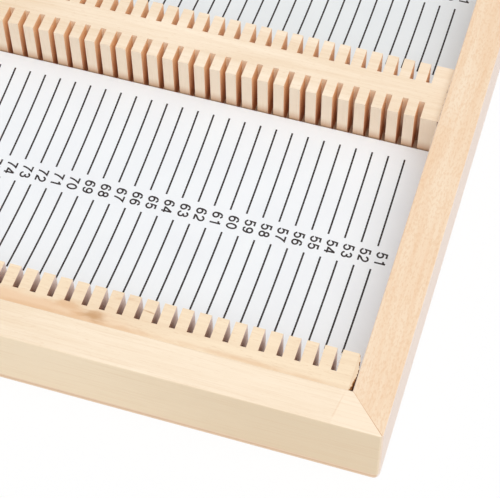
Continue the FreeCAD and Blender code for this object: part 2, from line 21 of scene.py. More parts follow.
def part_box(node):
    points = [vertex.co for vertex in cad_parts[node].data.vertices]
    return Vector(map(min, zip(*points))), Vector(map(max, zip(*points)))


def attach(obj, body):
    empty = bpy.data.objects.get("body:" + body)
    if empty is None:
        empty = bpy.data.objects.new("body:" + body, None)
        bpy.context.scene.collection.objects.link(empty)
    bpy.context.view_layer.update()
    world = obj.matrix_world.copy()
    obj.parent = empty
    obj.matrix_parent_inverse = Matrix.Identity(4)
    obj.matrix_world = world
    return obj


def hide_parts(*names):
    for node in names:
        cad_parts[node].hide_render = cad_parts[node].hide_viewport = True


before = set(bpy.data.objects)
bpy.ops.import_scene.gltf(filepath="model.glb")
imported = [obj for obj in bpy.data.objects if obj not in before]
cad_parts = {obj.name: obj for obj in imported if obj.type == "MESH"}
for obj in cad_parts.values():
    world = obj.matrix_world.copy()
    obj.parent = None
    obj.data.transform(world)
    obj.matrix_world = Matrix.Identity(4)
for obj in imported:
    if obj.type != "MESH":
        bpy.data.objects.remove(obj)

MM = 0.001
LOG = logging.getLogger("slide_box")

SLOT_COUNT = 50
SLOT_PITCH = 3.95 * MM

Colour = tuple[float, float, float, float]
Point = tuple[float, float]
Vector3 = tuple[float, float, float]

WHITE = (1.0, 1.0, 1.0, 1.0)
UP = (0.0, 0.0, 1.0)
FRONT = (0.0, -1.0, 0.0)
LEFT = (-1.0, 0.0, 0.0)
RIGHT = (1.0, 0.0, 0.0)

# The average of the soft noise, and how a seed is shared out over x, y and z.
NOISE_MEAN = 0.5
SEED_PARTS = (1.0, 3.0, 7.0)

# How a screen turns its levels into light: a straight foot and a power curve above it.
SCREEN_WHITE = 255.0
SCREEN_KNEE = 0.04045
SCREEN_SLOPE = 12.92
SCREEN_OFFSET = 0.055
SCREEN_POWER = 2.4


# ---- sums on shader sockets ----


class Axis(Enum):
    """A direction of the frame."""

    X = 0
    Y = 1
    Z = 2


class Value:
    """One output socket of a shader, ready for use in sums."""

    def __init__(self, shader: "Shader", socket: bpy.types.NodeSocket) -> None:
        """Keep the socket and the shader it belongs to."""
        self.shader = shader
        self.socket = socket

    def maths(self, operation: str, *operands: "Value | float") -> "Value":
        """Add one Math node.

        Args:
            operation: the node's operation.
            operands: its inputs in order.

        Returns:
            The node's result.
        """
        inputs = dict(enumerate(operands))
        return self.shader.node("ShaderNodeMath", {"operation": operation}, inputs)

    def __add__(self, other: "Value | float") -> "Value":
        """Return self + other."""
        return self.maths("ADD", self, other)

    def __radd__(self, other: float) -> "Value":
        """Return other + self."""
        return self.maths("ADD", other, self)

    def __sub__(self, other: "Value | float") -> "Value":
        """Return self - other."""
        return self.maths("SUBTRACT", self, other)

    def __rsub__(self, other: float) -> "Value":
        """Return other - self."""
        return self.maths("SUBTRACT", other, self)

    def __mul__(self, other: "Value | float") -> "Value":
        """Return self * other."""
        return self.maths("MULTIPLY", self, other)

    def __rmul__(self, other: float) -> "Value":
        """Return other * self."""
        return self.maths("MULTIPLY", other, self)

    def __truediv__(self, other: "Value | float") -> "Value":
        """Return self / other."""
        return self.maths("DIVIDE", self, other)

    def __abs__(self) -> "Value":
        """Return the size of self."""
        return self.maths("ABSOLUTE", self)

    def hypot(self, other: "Value") -> "Value":
        """Return the length of the arrow with self and other as its sides."""
        total = self * self + other * other
        return self.maths("SQRT", total)

    def ramp(self, low: float, high: float) -> "Value":
        """Rise smoothly from 0 at low to 1 at high.

        Args:
            low: the value where the result is 0.
            high: the value where the result is 1; it may be the lower of the two.

        Returns:
            The smooth step.
        """
        inputs = {"Value": self, "From Min": low, "From Max": high}
        return self.shader.node("ShaderNodeMapRange", {"interpolation_type": "SMOOTHSTEP"}, inputs)


@dataclass(frozen=True)
class Surface:
    """How matt a finish is and how its fine relief stands out."""

    roughness: float
    spread: float
    relief: float = 0.0
    depth: float = 0.0
    metallic: float = 0.0


class Shader:
    """A material, or the world around the box, under construction."""

    # The colour sockets of a Mix node, and the cosines over which a face comes to look one way.
    MIX_INPUTS = ("Factor", 6, 7)
    MIX_RESULT = 2
    TURNED = (0.5, 0.87)

    def __init__(self, name: str, world: bool = False) -> None:
        """Make an empty material, or an empty world.

        Args:
            name: its name.
            world: whether it is a world.
        """
        self.owner = (bpy.data.worlds if world else bpy.data.materials).new(name)
        self.owner.use_nodes = True
        self.tree = self.owner.node_tree
        self.tree.nodes.clear()
        self.output = self.tree.nodes.new("ShaderNodeOutputWorld" if world else "ShaderNodeOutputMaterial")

    def node(
        self,
        kind: str,
        settings: dict[str, Any],
        inputs: dict[str | int, Any],
        output: str | int = 0,
    ) -> Value:
        """Add any node.

        Args:
            kind: the node's type.
            settings: its own settings, which are set first.
            inputs: a Value or a plain number, colour or vector for each named or numbered input.
            output: the output that is wanted.

        Returns:
            That output.
        """
        made = self.tree.nodes.new(kind)
        for setting, choice in settings.items():
            setattr(made, setting, choice)
        for name, given in inputs.items():
            if isinstance(given, Value):
                self.tree.links.new(given.socket, made.inputs[name])
            else:
                made.inputs[name].default_value = given
        return Value(self, made.outputs[output])

    @cached_property
    def place(self) -> Value:
        """Return the point on the piece, in the frame at rest."""
        return self.node("ShaderNodeTexCoord", {}, {}, "Object")

    @cached_property
    def facing(self) -> Value:
        """Return the piece's own surface direction."""
        return self.node("ShaderNodeTexCoord", {}, {}, "Normal")

    def looking(self, direction: Vector3) -> Value:
        """Find the faces that look one way.

        Args:
            direction: that way.

        Returns:
            1 on those faces and 0 on the ones that look across it.
        """
        inputs = {0: self.facing, 1: direction}
        turned = self.node("ShaderNodeVectorMath", {"operation": "DOT_PRODUCT"}, inputs, "Value")
        return turned.ramp(*self.TURNED)

    def split(self, vector: Value) -> tuple[Value, Value, Value]:
        """Return the three parts of a vector."""
        parts = [self.node("ShaderNodeSeparateXYZ", {}, {0: vector}, axis) for axis in "XYZ"]
        return parts[0], parts[1], parts[2]

    def stretch(self, vector: Value, lengths: Vector3) -> Value:
        """Divide a vector by one length for each axis, so that a pattern repeats at about that length."""
        rates = tuple(1 / length for length in lengths)
        return self.node("ShaderNodeVectorMath", {"operation": "MULTIPLY"}, {0: vector, 1: rates})

    def cloud(self, vector: Value, detail: float = 2.0, roughness: float = 0.5) -> Value:
        """Return soft random noise, about 0.5 on average, with features of about unit size."""
        inputs = {"Vector": vector, "Scale": 1.0, "Detail": detail, "Roughness": roughness}
        return self.node("ShaderNodeTexNoise", {}, inputs)

    def grains(self, size: Vector3, detail: float = 3.0) -> Value:
        """Return soft random noise over the piece, with features of about that size on each axis."""
        return self.cloud(self.stretch(self.place, size), detail)

    def blend(self, share: Value, first: "Value | Colour", second: "Value | Colour") -> Value:
        """Mix two colours.

        Args:
            share: how much of the second colour there is, from 0 to 1.
            first: the colour where share is 0.
            second: the colour where share is 1.

        Returns:
            The mixed colour.
        """
        factor, left, right = self.MIX_INPUTS
        inputs = {factor: share, left: first, right: second}
        return self.node("ShaderNodeMix", {"data_type": "RGBA"}, inputs, self.MIX_RESULT)

    def bump(self, height: Value, strength: float, depth: float) -> Value:
        """Return surface normals raised by height, where 1 stands depth above 0."""
        inputs = {"Height": height, "Strength": strength, "Distance": depth}
        return self.node("ShaderNodeBump", {}, inputs)

    def background_rays(self) -> Value:
        """Return 1 for the rays that show the background: the camera's and those seen in metal or glass."""
        camera, glossy, through = (self.node("ShaderNodeLightPath", {}, {}, f"Is {kind} Ray")
                                   for kind in ("Camera", "Glossy", "Transmission"))
        return camera.maths("MAXIMUM", camera, glossy.maths("MAXIMUM", glossy, through))

    def close(self, surface: Value) -> bpy.types.Material | bpy.types.World:
        """Link the surface to the output and return the finished material or world."""
        self.tree.links.new(surface.socket, self.output.inputs["Surface"])
        return self.owner

    def finish(self, colour: Value, surface: Surface, uneven: Value, height: Value) -> bpy.types.Material:
        """Close a material with its Principled shader.

        Args:
            colour: its colour.
            surface: how matt it is and how its relief stands out.
            uneven: the noise that varies its roughness.
            height: the noise that raises its relief.

        Returns:
            The finished material.
        """
        settings = {
            "Base Color": colour,
            "Roughness": surface.roughness + surface.spread * uneven,
            "Metallic": surface.metallic,
        }
        if surface.relief:
            settings["Normal"] = self.bump(height, surface.relief, surface.depth)
        return self.close(self.node("ShaderNodeBsdfPrincipled", {}, settings))


def linear(level: float) -> float:
    """Turn one channel of a colour as a screen shows it into linear light.

    Args:
        level: the channel's level, from 0 to 255.

    Returns:
        Its light, from 0 to 1.
    """
    share = level / SCREEN_WHITE
    if share <= SCREEN_KNEE:
        return share / SCREEN_SLOPE
    return ((share + SCREEN_OFFSET) / (1 + SCREEN_OFFSET)) ** SCREEN_POWER


def display(red: float, green: float, blue: float) -> Colour:
    """Turn a colour as a screen shows it, from 0 to 255, into linear light."""
    return linear(red), linear(green), linear(blue), 1.0


# ---- finishes ----


@dataclass(frozen=True)
class Stain:
    """A soft patch of another colour on a piece of wood, as a knot, a streak, a change of tone or painted
    shade.
    """

    centre: Point
    reach: Point
    colour: Colour
    strength: float
    turn: float = 0.0
    core: float = 0.3
    waver: float = 0.25
    direction: Vector3 | None = None

    def moved(self, x: float, y: float) -> "Stain":
        """Return the same stain that far away."""
        return replace(self, centre=(self.centre[0] + x, self.centre[1] + y))

    def mask(self, shader: Shader, x: Value, y: Value, wander: Value) -> Value:
        """Say where the stain shows.

        Args:
            shader: the material under construction.
            x: the point's place across the box.
            y: the point's place from front to back.
            wander: soft noise that unsettles the stain's outline.

        Returns:
            Its strength from 0 to 1.
        """
        along = (x - self.centre[0]) * math.cos(self.turn) + (y - self.centre[1]) * math.sin(self.turn)
        across = (y - self.centre[1]) * math.cos(self.turn) - (x - self.centre[0]) * math.sin(self.turn)
        distance = (along / self.reach[0]).hypot(across / self.reach[1])
        uneven = distance + (wander - NOISE_MEAN) * (2 * self.waver)
        shown = uneven.ramp(1.0, self.core) * self.strength
        return shown * shader.looking(self.direction) if self.direction else shown


@dataclass(frozen=True)
class Side:
    """Another tone on the faces that look one way, on their whole height or only at their foot: the own
    tone of some faces, and painted light and shade on others.
    """

    direction: Vector3
    colour: Colour
    strength: float
    foot: Point | None = None
    streaks: float = 0.0
    streak_size: Vector3 = (0.3 * MM, 0.3 * MM, 9 * MM)
    streak_range: Point = (0.45, 0.7)

    def mask(self, shader: Shader, z: Value) -> Value:
        """Say where the tone shows.

        Args:
            shader: the material under construction.
            z: the point's height.

        Returns:
            Its strength from 0 to 1.
        """
        shown = shader.looking(self.direction) * self.strength
        if self.streaks:
            streak = shader.grains(self.streak_size).ramp(*self.streak_range)
            shown = shown * (1.0 - self.streaks * streak)
        if self.foot:
            low, high = self.foot
            return shown * z.ramp(high, low)
        return shown


@dataclass(frozen=True)
class Mitre:
    """The glued corner joints of a square frame of walls."""

    half_length: float
    half_width: float
    centre_y: float
    line: float = 0.16 * MM
    sharp: float = 0.25
    fade: Point = (9 * MM, 1 * MM)
    inner_share: float = 0.4
    colour: Colour = display(196, 138, 84)
    strength: float = 0.75

    def mask(self, x: Value, y: Value) -> Value:
        """Say where the glue line shows, strongest at the outer half of each joint.

        Args:
            x: the point's place across the box.
            y: the point's place from front to back.

        Returns:
            Its strength from 0 to 1.
        """
        from_side = self.half_length - abs(x)
        from_end = self.half_width - abs(y - self.centre_y)
        thin = abs(from_side - from_end).ramp(self.line, self.line * self.sharp)
        outer = from_side.ramp(*self.fade) * (1 - self.inner_share) + self.inner_share
        return thin * outer * self.strength


@dataclass(frozen=True)
class SlotShading:
    """Slot sides that a saw has cut across the fibres, with painted shade: pale where light reaches in at
    the open end of the slot, darker towards its closed end.
    """

    pale: Colour
    deep: Colour
    closed: float
    open: float
    axis: Axis
    shade_share: float = 0.85
    streak_share: float = 0.2

    def colour(self, shader: Shader, point: tuple[Value, Value, Value], streak: Value) -> Value:
        """Return the cut wood's colour with its painted shade.

        Args:
            shader: the material under construction.
            point: the point's place in the frame.
            streak: the fibre noise.

        Returns:
            The colour.
        """
        along = (point[self.axis.value] - self.closed) / (self.open - self.closed)
        depth = along.ramp(1.0, 0.0) * self.shade_share + streak * self.streak_share
        return shader.blend(depth, self.pale, self.deep)


@dataclass(frozen=True)
class PaleWood:
    """Bare lime wood, planed smooth: pale cream with faint lengthwise streaks and fine pores."""

    name: str
    grain: Axis
    pale: Colour
    deep: Colour
    pore: Colour = display(212, 168, 122)
    streaks: float = 0.5
    pores: float = 0.3
    seed: float = 0.0
    stains: tuple[Stain, ...] = ()
    sides: tuple[Side, ...] = ()
    mitre: Mitre | None = None
    slot_shading: SlotShading | None = None
    long_feature: float = 46 * MM
    broad_feature: float = 7 * MM
    streak_width: float = 0.9 * MM
    pore_length: float = 1.5 * MM
    pore_width: float = 0.26 * MM
    pore_start: float = 0.56
    pore_rise: float = 0.16
    veins: float = 0.0
    vein_width: float = 0.35 * MM
    wander_size: Point = (4 * MM, 1.5 * MM)
    tone_range: Point = (0.3, 0.7)
    streak_range: Point = (0.35, 0.68)
    vein_range: Point = (0.48, 0.72)
    streak_relief: float = 0.6
    surface: Surface = Surface(0.58, 0.12, relief=0.18, depth=0.06 * MM)

    def lengths(self, along: float, across: float) -> Vector3:
        """Order a pattern's size as x, y and z.

        Args:
            along: its size along the fibres.
            across: its size across them.

        Returns:
            Its size on each axis.
        """
        lengths = [across, across, across]
        lengths[self.grain.value] = along
        return lengths[0], lengths[1], lengths[2]

    def material(self) -> bpy.types.Material:
        """Build the material.

        Returns:
            The finished material.
        """
        shader = Shader(self.name)
        point = shader.split(shader.place)
        x, y, z = point
        offset = tuple(self.seed / part for part in SEED_PARTS)
        moved = shader.node("ShaderNodeVectorMath", {"operation": "ADD"}, {0: shader.place, 1: offset})
        tone = shader.cloud(shader.stretch(moved, self.lengths(self.long_feature, self.broad_feature)))
        wander = shader.cloud(shader.stretch(moved, self.lengths(*self.wander_size)))
        fibre = shader.stretch(moved, self.lengths(self.long_feature / 2, self.streak_width))
        streak = shader.cloud(fibre, detail=4.0, roughness=0.6)
        dots = shader.cloud(shader.stretch(moved, self.lengths(self.pore_length, self.pore_width)), 3.0)
        pore = dots.ramp(self.pore_start, self.pore_start + self.pore_rise)
        broad = tone.ramp(*self.tone_range) * (1 - self.streaks)
        share = broad + streak.ramp(*self.streak_range) * self.streaks
        colour = shader.blend(share, self.pale, self.deep)
        colour = shader.blend(pore * self.pores, colour, self.pore)
        for side in self.sides:
            colour = shader.blend(side.mask(shader, z), colour, side.colour)
        for stain in self.stains:
            colour = shader.blend(stain.mask(shader, x, y, wander), colour, stain.colour)
        if self.veins:
            thread = shader.stretch(moved, self.lengths(self.long_feature / 3, self.vein_width))
            vein = shader.cloud(thread, 3.0).ramp(*self.vein_range)
            colour = shader.blend(vein * self.veins, colour, self.pore)
        if self.mitre:
            glue = self.mitre.mask(x, y) * shader.looking(UP)
            colour = shader.blend(glue, colour, self.mitre.colour)
        # Painted shade on the slot sides: pale at the open end, darker towards the closed end.
        if self.slot_shading:
            cut = self.slot_shading.colour(shader, point, streak)
            sides = shader.looking(LEFT) + shader.looking(RIGHT)
            colour = shader.blend(sides, colour, cut)
        relief = streak * self.streak_relief + dots * (1 - self.streak_relief)
        return shader.finish(colour, self.surface, dots, relief)


@dataclass(frozen=True)
class PlyPanel:
    """Thin three-layer plywood: a pale face and a redder, layered edge, with painted pale light on the edge
    that looks right.
    """

    name: str
    low: float
    high: float
    face: Colour = display(240, 216, 186)
    face_deep: Colour = display(233, 206, 175)
    edge: Colour = display(238, 214, 188)
    core: Colour = display(222, 188, 156)
    painted_pale_light: Colour = display(250, 244, 240)
    wave: Vector3 = (30 * MM, 3 * MM, 3 * MM)
    wave_range: Point = (0.35, 0.7)
    speck: Vector3 = (1.2 * MM, 0.9 * MM, 0.2 * MM)
    speck_share: float = 0.2
    painted_pale_light_share: float = 0.8
    core_middle: float = 0.5
    core_edge: Point = (0.24, 0.14)
    upright_range: Point = (0.8, 0.5)
    surface: Surface = Surface(0.62, 0.12, relief=0.25, depth=0.06 * MM)

    def material(self) -> bpy.types.Material:
        """Build the material.

        Returns:
            The finished material.
        """
        shader = Shader(self.name)
        height = (shader.split(shader.place)[2] - self.low) / (self.high - self.low)
        figure = shader.grains(self.wave, detail=4.0)
        specks = shader.grains(self.speck)
        face = shader.blend(figure.ramp(*self.wave_range), self.face, self.face_deep)
        middle = abs(height - self.core_middle).ramp(*self.core_edge)
        layered = middle * (1 - self.speck_share) + specks * self.speck_share
        edge = shader.blend(layered, self.edge, self.core)
        # Painted pale light on the edge that looks right.
        edge = shader.blend(shader.looking(RIGHT) * self.painted_pale_light_share, edge, self.painted_pale_light)
        upright = abs(shader.split(shader.facing)[2]).ramp(*self.upright_range)
        colour = shader.blend(upright, face, edge)
        return shader.finish(colour, self.surface, specks, (figure + specks) / 2)


@dataclass(frozen=True)
class TornWood:
    """Broken fibres at a rough cut: brown where they are torn, with patches of painted shadow among them,
    and pale where the planed top reaches them.
    """

    name: str
    planed: Colour
    torn: Colour
    shadow: Colour
    feature: float = 0.5 * MM
    shadow_range: Point = (0.35, 0.65)
    surface: Surface = Surface(0.7, 0.2, relief=0.5, depth=0.1 * MM)

    def material(self) -> bpy.types.Material:
        """Build the material.

        Returns:
            The finished material.
        """
        shader = Shader(self.name)
        rough = shader.grains((self.feature,) * 3, detail=4.0)
        broken = shader.blend(rough.ramp(*self.shadow_range), self.torn, self.shadow)
        colour = shader.blend(shader.looking(UP), broken, self.planed)
        return shader.finish(colour, self.surface, rough, rough)


# The back sheet is the same paper with painted shade: a slightly greyer white than the others.
SHADED_WHITE = display(236, 240, 242)
SHADED_CLOUDY = display(231, 235, 238)


@dataclass(frozen=True)
class IndexPaper:
    """Smooth white printing paper with a trace of fibre."""

    name: str
    white: Colour = display(245, 248, 251)
    cloudy: Colour = display(240, 243, 247)
    fibre: float = 0.35 * MM
    fibre_share: float = 0.4
    patch: float = 14 * MM
    patch_range: Point = (0.3, 0.7)
    surface: Surface = Surface(0.68, 0.1, relief=0.12, depth=0.02 * MM)

    def material(self) -> bpy.types.Material:
        """Build the material.

        Returns:
            The finished material.
        """
        shader = Shader(self.name)
        patches = shader.grains((self.patch,) * 3)
        fibres = shader.grains((self.fibre,) * 3)
        share = patches.ramp(*self.patch_range) * (1 - self.fibre_share) + fibres * self.fibre_share
        colour = shader.blend(share, self.white, self.cloudy)
        return shader.finish(colour, self.surface, fibres, fibres)


@dataclass(frozen=True)
class Ink:
    """Printed brown-black ink, a little uneven on the paper's fibres."""

    name: str
    full: Colour = display(28, 15, 15)
    thin: Colour = display(46, 30, 28)
    spread: float = 0.4 * MM
    thin_range: Point = (0.45, 0.75)
    surface: Surface = Surface(0.5, 0.15)

    def material(self) -> bpy.types.Material:
        """Build the material.

        Returns:
            The finished material.
        """
        shader = Shader(self.name)
        uneven = shader.grains((self.spread,) * 3)
        colour = shader.blend(uneven.ramp(*self.thin_range), self.full, self.thin)
        return shader.finish(colour, self.surface, uneven, uneven)


@dataclass(frozen=True)
class Brass:
    """Thin pressed brass, bright with a little handling dullness and fine scratches along it."""

    name: str
    bright: Colour = display(226, 190, 122)
    dull: Colour = display(186, 146, 84)
    surface: Surface = Surface(0.26, 0.16, relief=0.15, depth=0.02 * MM, metallic=1.0)
    patch: float = 3 * MM
    patch_range: Point = (0.4, 0.7)
    scratch: Vector3 = (5 * MM, 0.12 * MM, 0.12 * MM)

    def material(self) -> bpy.types.Material:
        """Build the material.

        Returns:
            The finished material.
        """
        shader = Shader(self.name)
        patches = shader.grains((self.patch,) * 3, detail=4.0)
        colour = shader.blend(patches.ramp(*self.patch_range), self.bright, self.dull)
        return shader.finish(colour, self.surface, patches, shader.grains(self.scratch))


# ---- shared ways of making and dressing pieces ----


def dress(node: str, material: bpy.types.Material) -> None:
    """Give a piece of the frame its finish.

    Args:
        node: the piece's name.
        material: its finish.
    """
    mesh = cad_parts[node].data
    mesh.materials.clear()
    mesh.materials.append(material)
    LOG.info("dressed %s in %s", node, material.name)


def add_object(name: str, mesh: bmesh.types.BMesh, material: bpy.types.Material) -> bpy.types.Object:
    """Turn a finished mesh into an object of the scene.

    Args:
        name: the object's name.
        mesh: its mesh in the frame, which is freed here.
        material: its finish.

    Returns:
        The new object.
    """
    data = bpy.data.meshes.new(name)
    mesh.to_mesh(data)
    mesh.free()
    data.materials.append(material)
    made = bpy.data.objects.new(name, data)
    bpy.context.scene.collection.objects.link(made)
    return made


def settle(
    name: str,
    mesh: bmesh.types.BMesh,
    material: bpy.types.Material,
    body: str,
) -> bpy.types.Object:
    """Turn a finished mesh into a piece that rides on a body.

    Args:
        name: the piece's name.
        mesh: its mesh in the frame, which is freed here.
        material: its finish.
        body: the body it rides on.

    Returns:
        The new object.
    """
    bmesh.ops.recalc_face_normals(mesh, faces=mesh.faces)
    piece = add_object(name, mesh, material)
    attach(piece, body)
    LOG.info("built %s with %d faces on %s", name, len(piece.data.polygons), body)
    return piece


@dataclass
class Pen:
    """Lays ink on a sheet as thin closed ribbons that follow its surface."""

    height: Callable[[float, float], float]
    stand: float = 0.02 * MM
    bite: float = 0.04 * MM
    sharpest: float = 0.5
    mesh: bmesh.types.BMesh = field(default_factory=bmesh.new)

    def stroke(self, points: list[Point], width: float, closed: bool = False) -> None:
        """Draw one ribbon.

        Args:
            points: the middle of the ribbon, in x and y.
            width: how wide it is.
            closed: whether its end meets its start.
        """
        count = len(points)
        rings = []
        for index in range(count):
            before = points[(index - 1) % count] if closed else points[max(index - 1, 0)]
            after = points[(index + 1) % count] if closed else points[min(index + 1, count - 1)]
            rings.append(self.ring(points[index], before, after, width / 2))
        for index in range(count if closed else count - 1):
            first, second = rings[index], rings[(index + 1) % count]
            for corner in range(4):
                following = (corner + 1) % 4
                self.mesh.faces.new((first[corner], first[following], second[following], second[corner]))
        if not closed:
            self.mesh.faces.new(rings[0][::-1])
            self.mesh.faces.new(rings[-1])

    def ring(self, point: Point, before: Point, after: Point, half: float) -> list[bmesh.types.BMVert]:
        """Make the four corners of the ribbon at one of its points.

        Args:
            point: the middle of the ribbon.
            before: the point before it.
            after: the point after it.
            half: half of the ribbon's width.

        Returns:
            The corners: top left, top right, bottom right and bottom left.
        """
        here = Vector(point)
        arriving = (here - Vector(before)).normalized()
        leaving = (Vector(after) - here).normalized()
        heading = (arriving + leaving).normalized()
        spread = half / max(heading.dot(leaving), heading.dot(arriving), self.sharpest)
        side = Vector((-heading.y, heading.x)) * spread
        corners = []
        for edge, rise in ((here + side, self.stand), (here - side, self.stand),
                           (here - side, -self.bite), (here + side, -self.bite)):
            level = self.height(edge.x, edge.y) + rise
            corners.append(self.mesh.verts.new((edge.x, edge.y, level)))
        return corners


# ---- printed numbers ----


@dataclass(frozen=True)
class Line:
    """A straight part of a numeral."""

    start: Point
    stop: Point

    def points(self) -> list[Point]:
        """Return its two ends."""
        return [self.start, self.stop]


@dataclass(frozen=True)
class Arc:
    """A round part of a numeral: part of an ellipse, by its start and stop angles in degrees."""

    centre: Point
    radii: Point
    start: float
    stop: float
    step: float = 18.0

    def points(self) -> list[Point]:
        """Follow the arc.

        Returns:
            Points along it, at most one step apart.
        """
        sweep = self.stop - self.start
        count = max(2, round(abs(sweep) / self.step))
        angles = [math.radians(self.start + sweep * n / count) for n in range(count + 1)]
        return [(self.centre[0] + self.radii[0] * math.cos(a), self.centre[1] + self.radii[1] * math.sin(a))
                for a in angles]


@dataclass(frozen=True)
class Sweep:
    """A bent part of a numeral: a curve from start to stop that is pulled towards one point."""

    start: Point
    pull: Point
    stop: Point
    count: int = 6

    def points(self) -> list[Point]:
        """Follow the curve.

        Returns:
            Points along it.
        """
        found = []
        for index in range(self.count + 1):
            t = index / self.count
            near, middle, far = (1 - t) ** 2, 2 * t * (1 - t), t**2
            found.append(tuple(near * a + middle * b + far * c
                               for a, b, c in zip(self.start, self.pull, self.stop)))
        return found


Stroke = tuple[Line | Arc | Sweep, ...]


@dataclass
class Numerals:
    """Plain upright numerals, drawn by their strokes in units of their own height."""

    height: float
    advance: float = 0.79
    weight: float = 0.165
    ink_width: float = 0.64
    touching: float = 0.01
    least_step: float = 0.004

    def strokes(self, digit: str) -> list[Stroke]:
        """Describe one digit.

        Args:
            digit: the digit. A nine has the strokes of a six, which path() turns over.

        Returns:
            Its strokes, in units of its height.
        """
        shapes = {
            "0": [
                (Arc((0.32, 0.5), (0.25, 0.435), 0, 360),),
            ],
            "1": [
                (Line((0.41, 0.0), (0.41, 1.0)),),
                (
                    Line((0.15, 0.77), (0.27, 0.775)),
                    Sweep((0.27, 0.775), (0.37, 0.79), (0.395, 0.96)),
                ),
            ],
            "2": [
                (
                    Arc((0.32, 0.67), (0.24, 0.265), 172, -32),
                    Sweep((0.523, 0.53), (0.46, 0.43), (0.32, 0.33)),
                    Sweep((0.32, 0.33), (0.08, 0.18), (0.075, 0.065)),
                    Line((0.075, 0.065), (0.58, 0.065)),
                ),
            ],
            "3": [
                (Arc((0.31, 0.715), (0.215, 0.22), 170, -75),),
                (
                    Line((0.25, 0.53), (0.34, 0.53)),
                    Arc((0.33, 0.298), (0.245, 0.233), 88, -90),
                    Arc((0.31, 0.298), (0.245, 0.233), -90, -172),
                ),
            ],
            "4": [
                (Line((0.45, 0.0), (0.45, 0.97)),),
                (
                    Line((0.44, 0.95), (0.05, 0.31)),
                    Line((0.05, 0.27), (0.62, 0.27)),
                ),
            ],
            "5": [
                (
                    Line((0.55, 0.935), (0.15, 0.935)),
                    Line((0.15, 0.935), (0.095, 0.47)),
                    Arc((0.32, 0.33), (0.255, 0.27), 145, -165),
                ),
            ],
            "6": [
                (Arc((0.32, 0.32), (0.25, 0.255), 0, 360),),
                (
                    Arc((0.36, 0.46), (0.29, 0.475), 185, 90),
                    Arc((0.355, 0.73), (0.205, 0.205), 90, 12),
                ),
            ],
            "7": [
                (
                    Line((0.05, 0.93), (0.58, 0.93)),
                    Sweep((0.58, 0.93), (0.26, 0.52), (0.22, 0.0)),
                ),
            ],
            "8": [
                (Arc((0.32, 0.725), (0.205, 0.21), 0, 360),),
                (Arc((0.32, 0.3), (0.25, 0.235), 0, 360),),
            ],
        }
        return shapes["6" if digit == "9" else digit]

    def write(self, pen: Pen, text: str, middle: Point, turn: float) -> None:
        """Write a number centred on a point.

        Args:
            pen: what it is written with.
            text: the number.
            middle: the middle of its baseline.
            turn: the turn of its reading direction from +X, in radians.
        """
        length = (self.advance * (len(text) - 1) + self.ink_width) * self.height
        right = Vector((math.cos(turn), math.sin(turn)))
        upward = Vector((-math.sin(turn), math.cos(turn)))
        for index, digit in enumerate(text):
            start = index * self.advance * self.height - length / 2
            for stroke in self.strokes(digit):
                path = self.path(stroke, digit == "9")
                placed = [Vector(middle) + right * (start + u * self.height) + upward * (v * self.height)
                          for u, v in path]
                closed = (placed[0] - placed[-1]).length < self.touching * self.height
                kept = placed[:-1] if closed else placed
                pen.stroke([tuple(point) for point in kept], self.weight * self.height, closed)

    def path(self, stroke: Stroke, upside_down: bool) -> list[Point]:
        """Chain the parts of one stroke.

        Args:
            stroke: its parts in order.
            upside_down: whether it is turned over, for the nine.

        Returns:
            Points along the whole stroke.
        """
        chained: list[Point] = []
        for part in stroke:
            for point in part.points():
                if not chained or (Vector(point) - Vector(chained[-1])).length > self.least_step:
                    chained.append(point)
        if upside_down:
            return [(self.ink_width - u, 1 - v) for u, v in chained]
        return chained


# ---- the box ----


@dataclass
class Shell:
    """Four mitred walls on a thin panel: the base or the lid."""

    side: str
    finishes: dict[str, PaleWood]

    def dress(self) -> None:
        """Give the four walls and the panel their finishes."""
        for wall, finish in self.finishes.items():
            dress(f"{self.side}_{wall}_wall", finish.material())
        low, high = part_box(f"{self.side}_panel")
        dress(f"{self.side}_panel", PlyPanel(f"{self.side}_ply", low.z, high.z).material())


@dataclass(frozen=True)
class WoodTones:
    """The tones of the box's lime wood, as plain light shows them, and the painted light and shade of some
    side faces, slot sides and tooth feet.
    """

    cream: Colour = display(250, 229, 199)
    straw: Colour = display(238, 212, 180)
    dull_cream: Colour = display(251, 233, 208)
    dull_straw: Colour = display(240, 217, 187)
    warm: Colour = display(247, 225, 198)
    peach: Colour = display(239, 204, 168)
    bright: Colour = display(255, 237, 213)
    amber: Colour = display(220, 172, 124)
    knot: Colour = display(200, 154, 108)
    tan: Colour = display(228, 186, 142)
    dull_face: Colour = display(242, 223, 193)
    dull_end: Colour = display(230, 209, 178)
    # Painted pale light, for the right wall's broad faces and the panel's right edge.
    painted_pale_light: Colour = display(239, 225, 217)
    rose: Colour = display(253, 234, 211)
    # Painted shade for the foot of the divider's tooth fronts.
    foot: Colour = display(206, 160, 122)
    # Slot sides with painted shade: the pale tones where light reaches in, the darker ones towards the
    # closed ends.
    cut: Colour = display(255, 240, 232)
    cut_shaded: Colour = display(150, 112, 88)
    cut_shaded_brown: Colour = display(168, 117, 84)
    amber_cut: Colour = display(255, 216, 172)
    amber_cut_shaded: Colour = display(232, 166, 118)
    torn: Colour = display(240, 182, 116)
    torn_shadow: Colour = display(172, 112, 66)
    dark_torn: Colour = display(196, 146, 100)
    dark_torn_shadow: Colour = display(124, 80, 50)


TONES = WoodTones()


